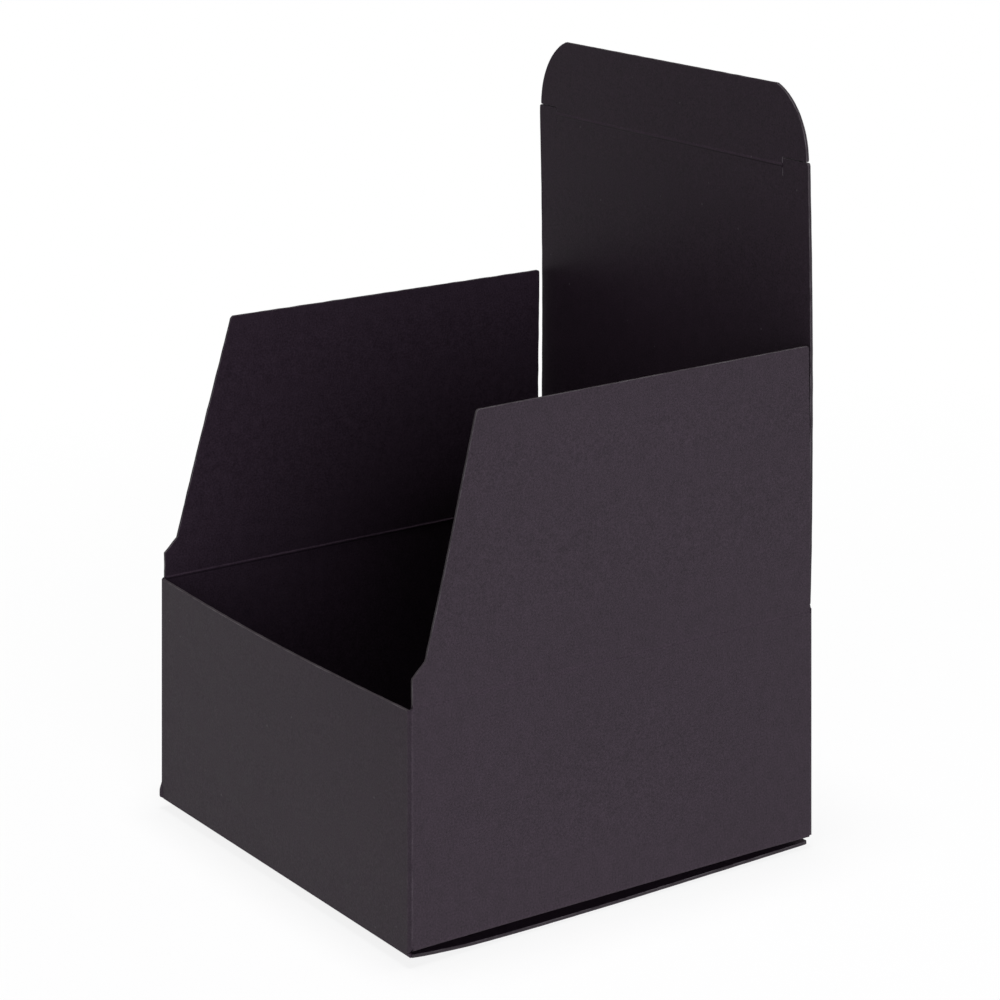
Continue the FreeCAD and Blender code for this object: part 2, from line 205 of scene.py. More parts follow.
def sheet(name, plane, corners, inner=1, bend=None, spacing=3.0, step=1.3, seed=1, rough=0.018):
    """A piece of board with rounded die-cut edges. Where an edge joins a crease or a fold it is left
    square, so that the two pieces meet flush. inner is the side of the plane that faces the inside."""
    raw, kinds = trace(corners, step)
    n = len(raw)
    # square off beside each change from cut to join
    pts, tags, owner = [], [], []
    for k in range(n):
        p, out, came = raw[k], kinds[k], kinds[k - 1]
        if came == "j" and out == "c":
            back = unit(raw[k - 1] - p)
            pts.append(p + back * BEVEL)
            tags.append("b")
            pts.append(p)
            tags.append("jc")
        elif came == "c" and out == "j":
            ahead = unit(raw[(k + 1) % n] - p)
            pts.append(p)
            tags.append("cj")
            pts.append(p + ahead * BEVEL)
            tags.append("b")
        elif out == "j":
            pts.append(p)
            tags.append("j")
        else:
            pts.append(p)
            tags.append("c")
    P = np.array(pts)
    n = len(P)
    length = np.linalg.norm(np.roll(P, -1, axis=0) - P, axis=1).sum()
    ragged = wander(n, length, seed, rough)

    verts, uvw, rim_wear_and_highlight, core, side = [], [], [], [], []

    def add(q, w, wear_and_highlight_mask=0.0, is_core=0.0):
        uvw.append((q[0], q[1], w))
        rim_wear_and_highlight.append(wear_and_highlight_mask)
        core.append(is_core)
        side.append(1.0 if w * inner > 0 else 0.0)
        return len(uvw) - 1

    b = BEVEL
    # each profile point: inset, height, worn arris with painted highlight, cut core
    profile = [(b, H, 0.0, 0.0), (0.29 * b, H - 0.29 * b, 1.0, 0.3), (0.0, H - b, 0.75, 0.8),
               (0.022, 0.06, 0.0, 1.0), (-0.012, -H * 0.45, 0.0, 1.0),
               (0.0, -H + b, 0.75, 0.8), (0.29 * b, -H + 0.29 * b, 1.0, 0.3), (b, -H, 0.0, 0.0)]
    columns = []
    for k in range(n):
        p, tag = P[k], tags[k]
        if tag == "c":
            d1, d2 = unit(p - P[k - 1]), unit(P[(k + 1) % n] - p)
            n1, n2 = np.array([d1[1], -d1[0]]), np.array([d2[1], -d2[0]])
            m = (n1 + n2) / max(0.35, 1 + float(n1 @ n2))
            q = p + m * ragged[k]
            columns.append([add(q - m * i, w, a, c) for i, w, a, c in profile])
        elif tag in ("cj", "jc"):
            along = unit((P[(k + 1) % n] - p) if tag == "cj" else (P[k - 1] - p))
            col = [None] + [add(p + along * i, w, a, c) for i, w, a, c in profile[1:-1]] + [None]
            columns.append(col)
        else:
            columns.append([add(p, H), add(p, -H)])

    faces, groups = [], []
    for k in range(n):
        j = (k + 1) % n
        A, B, ta, tb = columns[k], columns[j], tags[k], tags[j]
        cut_a, cut_b = ta == "c", tb == "c"
        if ta in ("cj", "jc"):
            # its end vertices belong to the squared column beside it
            mate = columns[j] if ta == "cj" else columns[k - 1]
            A = [mate[0]] + A[1:-1] + [mate[-1]]
        if tb in ("cj", "jc"):
            mate = columns[(j + 1) % n] if tb == "cj" else columns[k]
            B = [mate[0]] + B[1:-1] + [mate[-1]]
        if len(A) > 2 and len(B) > 2:
            for i in range(len(A) - 1):
                faces.append([A[i + 1], B[i + 1], B[i], A[i]])
                groups.append(1)
        elif len(A) > 2:          # cj, then its squared neighbour
            faces.append([A[-2], A[-1], A[0]] + A[1:-2])
            groups.append(2)
        elif len(B) > 2:          # squared neighbour, then jc
            faces.append([B[-1]] + B[-2:0:-1] + [B[0]])
            groups.append(2)
        else:
            faces.append([A[1], B[1], B[0], A[0]])
            groups.append(2)

    for top in (True, False):
        ring_ids = [c[0 if top else -1] for c, t in zip(columns, tags) if t not in ("cj", "jc")]
        ring = np.array([uvw[i][:2] for i in ring_ids])
        lo, hi = ring.min(0), ring.max(0)
        if top:
            gu, gv = np.meshgrid(
                np.arange(lo[0] + spacing / 2, hi[0], spacing),
                np.arange(lo[1] + spacing / 2, hi[1], spacing * 0.87))
            gu = gu + (np.arange(len(gu))[:, None] % 2) * spacing / 2
            grid = np.column_stack([gu.ravel(), gv.ravel()])
            grid = grid[inside(grid, ring)]
            grid = grid[clearance(grid, ring) > spacing * 0.36]
        ids = list(ring_ids) + [add(q, H if top else -H) for q in grid]
        coords = [Vector(q) for q in ring] + [Vector(q) for q in grid]
        got = delaunay_2d_cdt(coords, [], [list(range(len(ring)))], 1, 1e-7, True)
        back = [ids[o[0]] for o in got[3]]
        flat = np.array([(q[0], q[1]) for q in got[0]])
        centres = np.array([flat[list(f)].mean(0) for f in got[2]])
        keep = inside(centres, ring)
        for f, good in zip(got[2], keep):
            if good:
                tri = [back[i] for i in f]
                faces.append(tri if top else tri[::-1])
                groups.append(3 if top else 4)

    uvw_a = np.array(uvw)
    w = uvw_a[:, 2].copy()
    if bend is not None:
        w = w + bend(uvw_a[:, 0], uvw_a[:, 1])
    verts = plane.at(uvw_a[:, :2], w)
    return finish_mesh(name, verts, faces, groups,
                       {"rim_wear_and_highlight": rim_wear_and_highlight, "core": core, "inner": side})


def tube(name, rings, inner, rim_wear_and_highlight=None, crease_shade=None):
    """A swept strip: rings of equal count, each a closed loop. inner marks the loop's inside-facing points. Optional
    masks mark worn ridges with a painted highlight, and paint shade along a crease.
    """
    rings = [np.asarray(r, float) for r in rings]
    m = len(rings[0])
    verts = np.vstack(rings)
    faces, groups = [], []
    for a in range(len(rings) - 1):
        for i in range(m):
            j = (i + 1) % m
            faces.append([a * m + i, a * m + j, (a + 1) * m + j, (a + 1) * m + i])
            groups.append(1)
    last = (len(rings) - 1) * m
    faces.append(list(range(m))[::-1])
    faces.append([last + i for i in range(m)])
    groups += [5, 5]
    attributes = {
        "inner": np.tile(inner, len(rings)),
        "rim_wear_and_highlight": np.zeros(len(verts)) if rim_wear_and_highlight is None else np.tile(rim_wear_and_highlight, len(rings)),
        "core": np.zeros(len(verts)),
        "crease_shade": np.zeros(len(verts)) if crease_shade is None else np.tile(crease_shade, len(rings)),
    }
    return finish_mesh(name, verts, faces, groups, attributes)


def crease_section(groove=0.14, bead=0.15, rows=17, wide=S, spread=0.2, lead=0.0):
    """The board's section across a score: a scored groove on the outside and a raised bead inside.
    Returns (across, through) points, first the outside, then the inside back again, the inner flag, and a mask of
    painted shade along the inside."""
    a = np.linspace(-wide, wide, rows)
    fade = 1 - (a / wide) ** 2
    g = groove * np.exp(-(a / 0.17) ** 2) * fade - 0.035 * np.exp(-((np.abs(a) - 0.36) / 0.1) ** 2) * fade
    h = bead * np.exp(-((a - lead) / spread) ** 2) * fade
    outside = np.column_stack([a, H - g])
    within = np.column_stack([a, -H - h])[::-1]
    flag = np.concatenate([np.zeros(rows), np.ones(rows)])
    # painted shade: a dark band along the inside of the score
    shade = np.concatenate([np.zeros(rows), (1.3 * np.exp(-((a + 0.3) / 0.22) ** 2) * fade)[::-1]])
    return np.vstack([outside, within]), flag, shade


def straight_crease(name, origin, along, across, out, lo, hi, step=2.2, seed=3, **kw):
    section, flag, shade = crease_section(**kw)
    o, along, across, out = (np.array(x, float) for x in (origin, along, across, out))
    rng = np.random.default_rng(seed)
    stations = np.linspace(lo, hi, max(2, int((hi - lo) / step)))
    vary = 1 + 0.18 * np.interp(stations, np.linspace(lo, hi, 24), rng.normal(size=24))
    rings = []
    for s, f in zip(stations, vary):
        through = section[:, 1].copy()
        flat = np.where(through > 0, H, -H)
        through = flat + (through - flat) * f
        rings.append(o + s * along + section[:, :1] * across + through[:, None] * out)
    return tube(name, rings, flag, crease_shade=shade)


# ------------------------------------------------------------------ materials
def board_material(name, outer, inner, core, wear_and_highlight, rough=0.66, rough_in=0.48, spec=0.15, spec_in=0.038):
    mat = bpy.data.materials.new(name)
    mat.use_nodes = True
    nt = mat.node_tree
    nodes, links = nt.nodes, nt.links
    bsdf = nodes["Principled BSDF"]

    def node(kind, **inputs):
        n = nodes.new(kind)
        for key, value in inputs.items():
            n.inputs[key].default_value = value
        return n

    def math_node(op, a, b=None, c=None, clamp=False):
        n = nodes.new("ShaderNodeMath")
        n.operation = op
        n.use_clamp = clamp
        for i, x in enumerate((a, b, c)):
            if x is None:
                continue
            if isinstance(x, (int, float)):
                n.inputs[i].default_value = x
            else:
                links.new(x, n.inputs[i])
        return n.outputs[0]

    def mix_colour(factor, a, b, blend="MIX"):
        n = nodes.new("ShaderNodeMix")
        n.data_type = "RGBA"
        n.blend_type = blend
        for socket, x in ((n.inputs[0], factor), (n.inputs[6], a), (n.inputs[7], b)):
            if isinstance(x, (int, float)):
                socket.default_value = x
            elif isinstance(x, tuple):
                socket.default_value = (*x, 1.0)
            else:
                links.new(x, socket)
        return n.outputs[2]

    def attribute(key):
        n = nodes.new("ShaderNodeAttribute")
        n.attribute_type = "GEOMETRY"
        n.attribute_name = key
        return n.outputs["Fac"]

    def noise(scale, detail=2.0, roughness=0.5, stretch=None):
        n = node("ShaderNodeTexNoise", Scale=scale, Detail=detail, Roughness=roughness)
        if stretch:
            m = nodes.new("ShaderNodeMapping")
            m.inputs["Scale"].default_value = stretch
            links.new(coords, m.inputs["Vector"])
            links.new(m.outputs[0], n.inputs["Vector"])
        else:
            links.new(coords, n.inputs["Vector"])
        return n.outputs["Fac"]

    coords = nodes.new("ShaderNodeTexCoord").outputs["Object"]
    is_inner, wear_and_highlight_mask, is_core, painted_crease_shade = attribute("inner"), attribute("rim_wear_and_highlight"), attribute("core"), attribute("crease_shade")

    cloud = noise(26.0, 3.0, 0.55)
    mottle = noise(420.0, 3.0, 0.6)
    grain = noise(2600.0, 2.0, 0.6)
    fibre = noise(900.0, 2.0, 0.7, (1.0, 1.0, 0.22))
    fibre2 = noise(1000.0, 2.0, 0.7, (0.25, 0.25, 1.0))

    base = mix_colour(is_inner, outer, inner)
    # tone: broad clouding, fibre mottle and fine grain
    tone = math_node("ADD", math_node("MULTIPLY", math_node("SUBTRACT", cloud, 0.5), 0.16),
                     math_node("MULTIPLY", math_node("SUBTRACT", mottle, 0.5), 0.50))
    tone = math_node("ADD", tone, math_node("MULTIPLY", math_node("SUBTRACT", grain, 0.5), 1.5))
    tone = math_node("ADD", tone, math_node("MULTIPLY", math_node("SUBTRACT", fibre, 0.5), 0.14))
    tone = math_node("ADD", tone, 1.0)
    n = nodes.new("ShaderNodeVectorMath")
    n.operation = "SCALE"
    links.new(base, n.inputs[0])
    links.new(tone, n.inputs["Scale"])
    colour = n.outputs[0]

    # sparse pale specks of dust and paper fibre
    speck = nodes.new("ShaderNodeTexVoronoi")
    speck.feature = "F1"
    speck.inputs["Scale"].default_value = 330.0
    links.new(coords, speck.inputs["Vector"])
    dot = math_node("LESS_THAN", speck.outputs["Distance"], 0.085)
    sep = nodes.new("ShaderNodeSeparateColor")
    links.new(speck.outputs["Color"], sep.inputs[0])
    dot = math_node("MULTIPLY", dot, math_node("GREATER_THAN", sep.outputs[0], 0.93))
    colour = mix_colour(math_node("MULTIPLY", dot, 0.22), colour, (0.16, 0.145, 0.155))

    # the die-cut core, and arrises and fold ridges lightened in patches: worn, rubbed board and a painted highlight
    colour = mix_colour(math_node("MULTIPLY", is_core, 0.85), colour, core)
    wear_and_highlight_patches = noise(240.0, 3.0, 0.65)
    wear_and_highlight_patches = math_node("MULTIPLY", math_node("SUBTRACT", wear_and_highlight_patches, 0.36), 3.2, clamp=True)
    rub_and_highlight = math_node("MULTIPLY", wear_and_highlight_mask, wear_and_highlight_patches, clamp=True)
    colour = mix_colour(math_node("MULTIPLY", rub_and_highlight, 0.75), colour, wear_and_highlight)
    # painted shade: darkens the colour along creases and fold lines, where shade falls
    colour = mix_colour(math_node("MULTIPLY", painted_crease_shade, 0.7), colour, (0.004, 0.003, 0.004))
    links.new(colour, bsdf.inputs["Base Color"])

    r = math_node("MULTIPLY_ADD", is_inner, rough_in - rough, rough)
    r = math_node("MULTIPLY_ADD", math_node("SUBTRACT", mottle, 0.5), 0.22, r)
    r = math_node("MULTIPLY_ADD", is_core, 0.14, r)
    links.new(r, bsdf.inputs["Roughness"])
    s = math_node("MULTIPLY_ADD", is_inner, spec_in - spec, spec)
    links.new(s, bsdf.inputs["Specular IOR Level"])

    height = math_node("MULTIPLY", grain, 0.5)
    height = math_node("MULTIPLY_ADD", fibre, 0.5, height)
    height = math_node("MULTIPLY_ADD", fibre2, 0.4, height)
    height = math_node("MULTIPLY_ADD", mottle, 0.5, height)
    bump = node("ShaderNodeBump", Strength=0.55, Distance=0.00005)
    links.new(height, bump.inputs["Height"])
    links.new(bump.outputs[0], bsdf.inputs["Normal"])
    return mat


OUTER = (0.0328, 0.0233, 0.0312)
INNER = (0.0242, 0.0160, 0.0232)
CORE = (0.0400, 0.0340, 0.0375)
# pale colour of worn arrises, also a painted highlight on edges and fold ridges
WEAR_AND_HIGHLIGHT = (0.140, 0.128, 0.135)
board = board_material("black_board", OUTER, INNER, CORE, WEAR_AND_HIGHLIGHT)
board_fold = board_material("black_board_fold", tuple(c * 1.08 for c in OUTER), tuple(c * 1.3 for c in INNER),
                            CORE, WEAR_AND_HIGHLIGHT, rough=0.74)

glue = bpy.data.materials.new("side_seam_glue")
glue.use_nodes = True
_nt = glue.node_tree
_b = _nt.nodes["Principled BSDF"]
_noise = _nt.nodes.new("ShaderNodeTexNoise")
_noise.inputs["Scale"].default_value = 400.0
_ramp = _nt.nodes.new("ShaderNodeValToRGB")
_ramp.color_ramp.elements[0].color = (0.50, 0.44, 0.30, 1)
_ramp.color_ramp.elements[1].color = (0.64, 0.58, 0.42, 1)
_nt.links.new(_noise.outputs["Fac"], _ramp.inputs[0])
_nt.links.new(_ramp.outputs[0], _b.inputs["Base Color"])
_b.inputs["Roughness"].default_value = 0.35


def dress(obj, mat, slot_name, *nodes_replaced, ride=None):
    obj.data.materials.clear()
    obj.data.materials.append(mat)
    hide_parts(*nodes_replaced)
    if ride:
        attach(obj, ride)
    return obj


# ------------------------------------------------------------------ panels
def smooth01(x):
    x = np.clip(x, 0, 1)
    return x * x * (3 - 2 * x)


FRONT = Plane((0, -50.875, 0), (1, 0, 0), (0, 0, 1))          # n = -y, outward
BACK = Plane((0, 50.875, 0), (1, 0, 0), (0, 0, 1))            # n = -y, inward
RIGHT = Plane((59.625, 0, 0), (0, 1, 0), (0, 0, 1))           # n = +x, outward
LEFT = Plane((-59.625, 0, 0), (0, 1, 0), (0, 0, 1))           # n = +x, inward

dust_z, lid_z, reach = 53.5, 54.5, 99.1
front_top, side_top, back_top = 52.9, dust_z - S, lid_z - S
hinge_y, hinge_z = -50.875, 1.975            # where the bottom panel folds under the front wall
front_foot, wall_foot, back_foot = hinge_z + S, 3.7, 2.0


def belly(u, v, u0, u1, v0, v1, amount):
    """A shallow bow that dies out towards all four borders."""
    a = np.clip((u - u0) / (u1 - u0), 0, 1)
    c = np.clip((v - v0) / (v1 - v0), 0, 1)
    return amount * (np.sin(math.pi * a) ** 2) * (np.sin(math.pi * c) ** 2)


def front_bow(u, v):
    """The front wall swells outwards towards its free upper edge."""
    return (1.5 * np.sin(math.pi * np.clip((u + 59) / 118, 0, 1))
            * np.clip((v - front_foot) / (front_top - front_foot), 0, 1) ** 1.2)


dress(sheet("front_panel_board", FRONT,
            [(-59, front_foot, "j"), (59, front_foot, "j"), (59, front_top + 0.1, "c"), (-59, front_top + 0.6, "j")],
            inner=-1, seed=11, bend=front_bow),
      board, "board", "front_panel", ride="sleeve")
def foot_rise(y):
    """The side folds over the base climb a little towards the front."""
    return np.interp(y, [-50.3, -44.0, -30.0, -10.0, 12.0, 36.0, 50.3], [0.50, 0.50, 0.40, 0.20, 0.0, -0.20, -0.5])


FEET = np.linspace(-50.25, 50.25, 25)
LOWER = [(y, wall_foot + float(foot_rise(y)), "j") for y in FEET]
dress(sheet("right_side_board", RIGHT,
            LOWER + [(50.25, side_top, "j"), (-50.25, side_top, "j")],
            inner=-1, seed=12,
            bend=lambda u, v: belly(u, v, -50, 50, 2.5, side_top, 0.15)),
      board, "board", "right_side_panel", ride="sleeve")
dress(sheet("left_side_board", LEFT,
            LOWER + [(51.25, LOWER[-1][1], "c"), (51.25, side_top, "c", 0.4),
                     (50.25, side_top, "j"), (-50.25, side_top, "j")],
            inner=1, seed=13,
            bend=lambda u, v: belly(u, v, -50, 50, 2.5, side_top, -0.12)),
      board, "board", "left_side_panel", ride="sleeve")
dress(sheet("back_panel_board", BACK,
            [(-58.2, back_foot, "c"), (59, back_foot, "j"), (59, back_top, "j"), (-58.2, back_top, "j")],
            inner=1, seed=14,
            bend=lambda u, v: belly(u, v, -58, 59, -6, back_top, 0.12)),
      board, "board", "back_panel", ride="sleeve")
GLUE_FLAP = Plane((-58.825, 0, 0), (0, 1, 0), (0, 0, 1))
dress(sheet("glue_flap_board", GLUE_FLAP,
            [(50.25, 4.5, "j"), (50.25, 52.5, "c"), (37.0, 48.0, "c", 0.8), (37.0, 9.0, "c", 0.8)],
            inner=1, seed=15),
      board, "board", "glue_flap", ride="sleeve")


# ------------------------------------------------------------------ vertical corner folds
def corner_fold(name, node, cx, cy, start_deg, z_lo, z_hi, turns=15, flare=0.0):
    """A folded score up a corner: two small ridges with a scored line between them outside, a bead inside. The ridges
    get a painted highlight and the line a painted shade.
    z_lo and z_hi are (at the start of the turn, at its end)."""
    phi = np.linspace(0, math.pi / 2, turns)
    f = phi / (math.pi / 2)
    fade = np.sin(math.pi * np.clip(f, 0, 1)) ** 0.5
    fade[0] = fade[-1] = 0.0
    ridge = 0.045 * (np.exp(-((f - 0.13) / 0.09) ** 2) + np.exp(-((f - 0.87) / 0.09) ** 2)) * fade
    groove = 0.09 * np.exp(-((f - 0.5) / 0.15) ** 2)
    r_out = 1.0 + ridge - groove
    r_in = 0.25 - 0.06 * np.exp(-((f - 0.5) / 0.25) ** 2)
    angles = math.radians(start_deg) + phi
    stations = np.concatenate([np.linspace(0, 0.09, 8)[:-1], np.linspace(0.09, 1, 24)])
    rings = []
    for s in stations:
        z = (z_lo[0] * (1 - f) + z_lo[1] * f) * (1 - s) + (z_hi[0] * (1 - f) + z_hi[1] * f) * s
        swell = flare * (1 - smooth01((s - 0.02) / 0.05)) * np.sin(math.pi * f) ** 0.6
        outer_loop = np.column_stack([cx + (r_out + swell) * np.cos(angles), cy + (r_out + swell) * np.sin(angles), z])
        inner_loop = np.column_stack([cx + (r_in + swell) * np.cos(angles), cy + (r_in + swell) * np.sin(angles), z])[::-1]
        rings.append(np.vstack([outer_loop, inner_loop]))
    flag = np.concatenate([np.zeros(turns), np.ones(turns)])
    # painted highlight on the two ridges, through the mask of worn arrises
    lit = 0.28 * (np.exp(-((f - 0.13) / 0.09) ** 2) + np.exp(-((f - 0.87) / 0.09) ** 2))
    # painted shade down the scored line
    dark = 0.32 * np.exp(-((f - 0.5) / 0.2) ** 2)
    blank = np.zeros(turns)
    obj = tube(name, rings, flag, np.concatenate([lit, blank]), np.concatenate([dark, blank]))
    dress(obj, board_fold, "board_fold", node, ride="sleeve")


corner_fold("front_left_fold", "fold_front_left", -59, -50.25, 180, (3.75, 2.2), (side_top + 0.75, front_top + 0.55),
            flare=0.6)
corner_fold("front_right_fold", "fold_front_right", 59, -50.25, 270, (2.2, 3.75), (front_top + 0.05, side_top + 0.6))
corner_fold("rear_right_fold", "fold_rear_right", 59, 50.25, 0, (2.6, back_foot), (side_top, back_top - 0.05))
corner_fold("rear_left_fold", "fold_rear_left", -58.2, 50.25, 90, (back_foot + 0.1, 4.5), (back_top - 0.05, 52.5))


# ------------------------------------------------------------------ lid and its tuck flap
BOW_AT = np.array([0, 2.5, 11.5, 22.5, 30.5, 40.5, 48.5, 62.5, 71.5, 80.5, 85.5, 94.5, 99.1, 102.0])
BOW_BY = 0.7 * np.array([0, 0.10, 0.46, 0.70, 0.80, 0.88, 0.93, 0.86, 0.73, 0.56, 0.40, 0.12, 0.0, 0.0])


def lid_bend(u, v):
    """The standing lid leans back in a shallow curve."""
    return -np.interp(v - lid_z, BOW_AT, BOW_BY)


sl, sr, cut = 50.8, 48.8, 0.15
hook, end = lid_z + reach - 2.4, lid_z + reach + 1.7
axis_z = lid_z + reach
dress(sheet("lid_board", BACK,
            [(-59, lid_z + S, "j"), (59, lid_z + S, "c"), (59, end, "c", 0.7), (sr + cut, end, "c"),
             (sr + cut, hook, "c"), (sr, hook, "c"), (sr, axis_z - S, "j"), (-sl, axis_z - S, "c"),
             (-sl, hook, "c"), (-sl - cut, hook, "c"), (-sl - cut, end, "c"), (-59, end, "c", 0.7)],
            inner=1, seed=21, bend=lid_bend),
      board, "board", "lid_panel", ride="lid")


def tuck_corners(left, right, ear=58.4, foot=1.85, top=18.7, half=46.5):
    rise, inset = top - foot, ear - half
    radius = (rise ** 2 + inset ** 2) / (2 * inset)
    sweep = math.atan2(rise, radius - inset)
    arc = [(ear - radius + radius * math.cos(a), foot + radius * math.sin(a))
           for a in np.linspace(0, sweep, 15)]
    out = [(-left, S, "j"), (right, S, "c"), (right, foot, "c")]
    out += [(u, v, "c", 0.35 if i == 0 else 0.0) for i, (u, v) in enumerate(arc)]
    out += [(-u, v, "c", 0.35 if i == 14 else 0.0) for i, (u, v) in enumerate(arc[::-1])]
    out += [(-left, foot, "c")]
    return out


def tuck_bend(u, v):
    return 0.0 * u


LID_TUCK = Plane((0, 50.875, axis_z), (1, 0, 0), (0, 0, 1))
dress(sheet("lid_tuck_board", LID_TUCK, tuck_corners(sl, sr), inner=1, seed=22, bend=tuck_bend,
            spacing=2.6, step=1.1),
      board, "board", "lid_tuck_flap", ride="lid_tuck")

obj = straight_crease("lid_score", (0, 50.875, lid_z), (1, 0, 0), (0, 0, 1), (0, 1, 0), -58.9, 58.9)
dress(obj, board_fold, "board_fold", "lid_crease")
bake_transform(obj)
obj = straight_crease("lid_tuck_score", (0, 50.875, axis_z), (1, 0, 0), (0, 0, 1), (0, 1, 0), -sl, sr,
                      bead=0.09, spread=0.3)
dress(obj, board_fold, "board_fold", "lid_tuck_crease")
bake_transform(obj)

# ------------------------------------------------------------------ top dust flaps
DUST = {"left": [(-50.4, S, "j"), (50.35, S, "c"), (50.35, 59.4, "c", 0.7), (-33.8, 59.5, "c", 0.9),
                 (-47.35, 9.05, "c", 0.7), (-50.4, 6.0, "c", 0.4)],
        "right": [(-50.4, S, "j"), (50.35, S, "c"), (50.35, 60.3, "c", 0.7), (-35.0, 59.5, "c", 0.9),
                  (-47.35, 9.05, "c", 0.7), (-50.4, 6.0, "c", 0.4)]}
for word, plane, sign, inner_side in (("left", LEFT, -1, 1), ("right", RIGHT, 1, -1)):
    p = Plane((plane.o[0], 0, dust_z), (0, 1, 0), (0, 0, 1))
    obj = sheet(word + "_dust_board", p, DUST[word], inner=inner_side, seed=30 + sign,
                bend=lambda u, v, k=sign: k * (0.35 * np.sin(math.pi * np.clip(v / 60, 0, 1)) ** 2
                                               - 0.45 * np.clip(v - S, 0, 60) / 60))
    dress(obj, board, "board", word + "_dust_flap", ride=word + "_dust")
    obj = straight_crease(word + "_dust_score", (plane.o[0], 0, dust_z), (0, 1, 0), (0, 0, 1), (sign, 0, 0),
                          -50.35, 50.3, seed=40 + sign, groove=0.05, bead=0.2, spread=0.24, lead=0.22)
    dress(obj, board_fold, "board_fold", word + "_dust_crease")
    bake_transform(obj)

# ------------------------------------------------------------------ base
BASE_Z = H
bh, bsl = 59.6, 51.4
b_end, b_hook, b_axis = hinge_y + reach + 1.7, hinge_y + reach - 2.4, hinge_y + reach
BASE = Plane((0, 0, BASE_Z), (1, 0, 0), (0, 1, 0))            # n = +z, inward
SAG_AT = np.array([-50.3, -49.4, -48.5, -45.2, -41.0, -36.8, -32.5, -23.8, -15.0, 0.0,
                   12.4, 26.6, 36.3, 46.2, 48.225, 49.95])
SAG_BY = np.array([1.60, 1.48, 1.33, 1.02, 0.70, 0.42, 0.30, 0.13, 0.05, 0.0,
                   0.08, 0.17, 0.25, 0.36, 0.38, 0.40])


def sag(u, v):
    """The bottom panel hangs below the walls and rests on its middle."""
    return np.interp(v, SAG_AT, SAG_BY)



dress(sheet("bottom_board", BASE,
            [(-bh, hinge_y + S, "j"), (bh, hinge_y + S, "c"), (bh, b_end, "c", 0.7), (bsl + cut, b_end, "c"),
             (bsl + cut, b_hook, "c"), (bsl, b_hook, "c"), (bsl, b_axis - S, "j"), (-bsl, b_axis - S, "c"),
             (-bsl, b_hook, "c"), (-bsl - cut, b_hook, "c"), (-bsl - cut, b_end, "c"), (-bh, b_end, "c", 0.7)],
            inner=1, seed=51, bend=sag),
      board, "board", "bottom_panel", ride="bottom")


def folded_score(name, node, pts_out, pts_in, lo, hi):
    """A score that is already folded at rest: matching outer and inner profiles in (y, z), swept along x."""
    section = np.vstack([pts_out, pts_in[::-1]])
    flag = np.concatenate([np.zeros(len(pts_out)), np.ones(len(pts_in))])
    rings = []
    for x in np.linspace(lo, hi, 52):
        rings.append(np.column_stack([np.full(len(section), x), section]))
    obj = tube(name, rings, flag)
    dress(obj, board_fold, "board_fold", node)
    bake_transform(obj)


# front wall down and under: both faces turn about a centre inside the corner
def fold_profile(cy, cz, a0, a1, radius, groove, turns=11):
    phi = np.radians(np.linspace(a0, a1, turns))
    f = np.linspace(0, 1, turns)
    r = radius - groove * np.exp(-((f - 0.5) / 0.14) ** 2)
    r += (0.05 if groove > 0 else 0.0) * (np.exp(-((f - 0.14) / 0.09) ** 2) + np.exp(-((f - 0.86) / 0.09) ** 2))
    r[0] = r[-1] = radius
    return np.column_stack([cy + r * np.cos(phi), cz + r * np.sin(phi)])


cy0, cz0 = hinge_y + S, hinge_z + S
folded_score("bottom_score", "bottom_crease",
             fold_profile(cy0, cz0, 180, 270, S + H, 0.11), fold_profile(cy0, cz0, 180, 270, S - H, 0.0),
             -59.3, 59.3)

# bottom panel up into its tuck flap, which leans inward
lean = math.radians(6.0)
ty, tz = b_axis, 0.38 + H
tv = np.array([-math.sin(lean), math.cos(lean)])              # (y, z) along the flap
tn = np.array([math.cos(lean), math.sin(lean)])               # its outer side
a_out, a_in = np.array([ty - S, tz - H]), np.array([ty - S, tz + H])
c_out, c_in = np.array([ty, tz]) + tv * S + tn * H, np.array([ty, tz]) + tv * S - tn * H


def hermite(p, q, dp, dq, count=11):
    t = np.linspace(0, 1, count)[:, None]
    return ((2 * t ** 3 - 3 * t ** 2 + 1) * p + (t ** 3 - 2 * t ** 2 + t) * dp
            + (-2 * t ** 3 + 3 * t ** 2) * q + (t ** 3 - t ** 2) * dq)


folded_score("bottom_tuck_score", "bottom_tuck_crease",
             hermite(a_out, c_out, np.array([1.5, 0.0]), tv * 1.5),
             hermite(a_in, c_in, np.array([0.3, 0.0]), tv * 0.3),
             -bsl, bsl)
BOTTOM_TUCK = Plane((0, ty, tz), (1, 0, 0), (0, tv[0], tv[1]))
dress(sheet("bottom_tuck_board", BOTTOM_TUCK, tuck_corners(bsl, bsl), inner=1, seed=52, spacing=2.6, step=1.1),
      board, "board", "bottom_tuck_flap", ride="bottom_tuck")

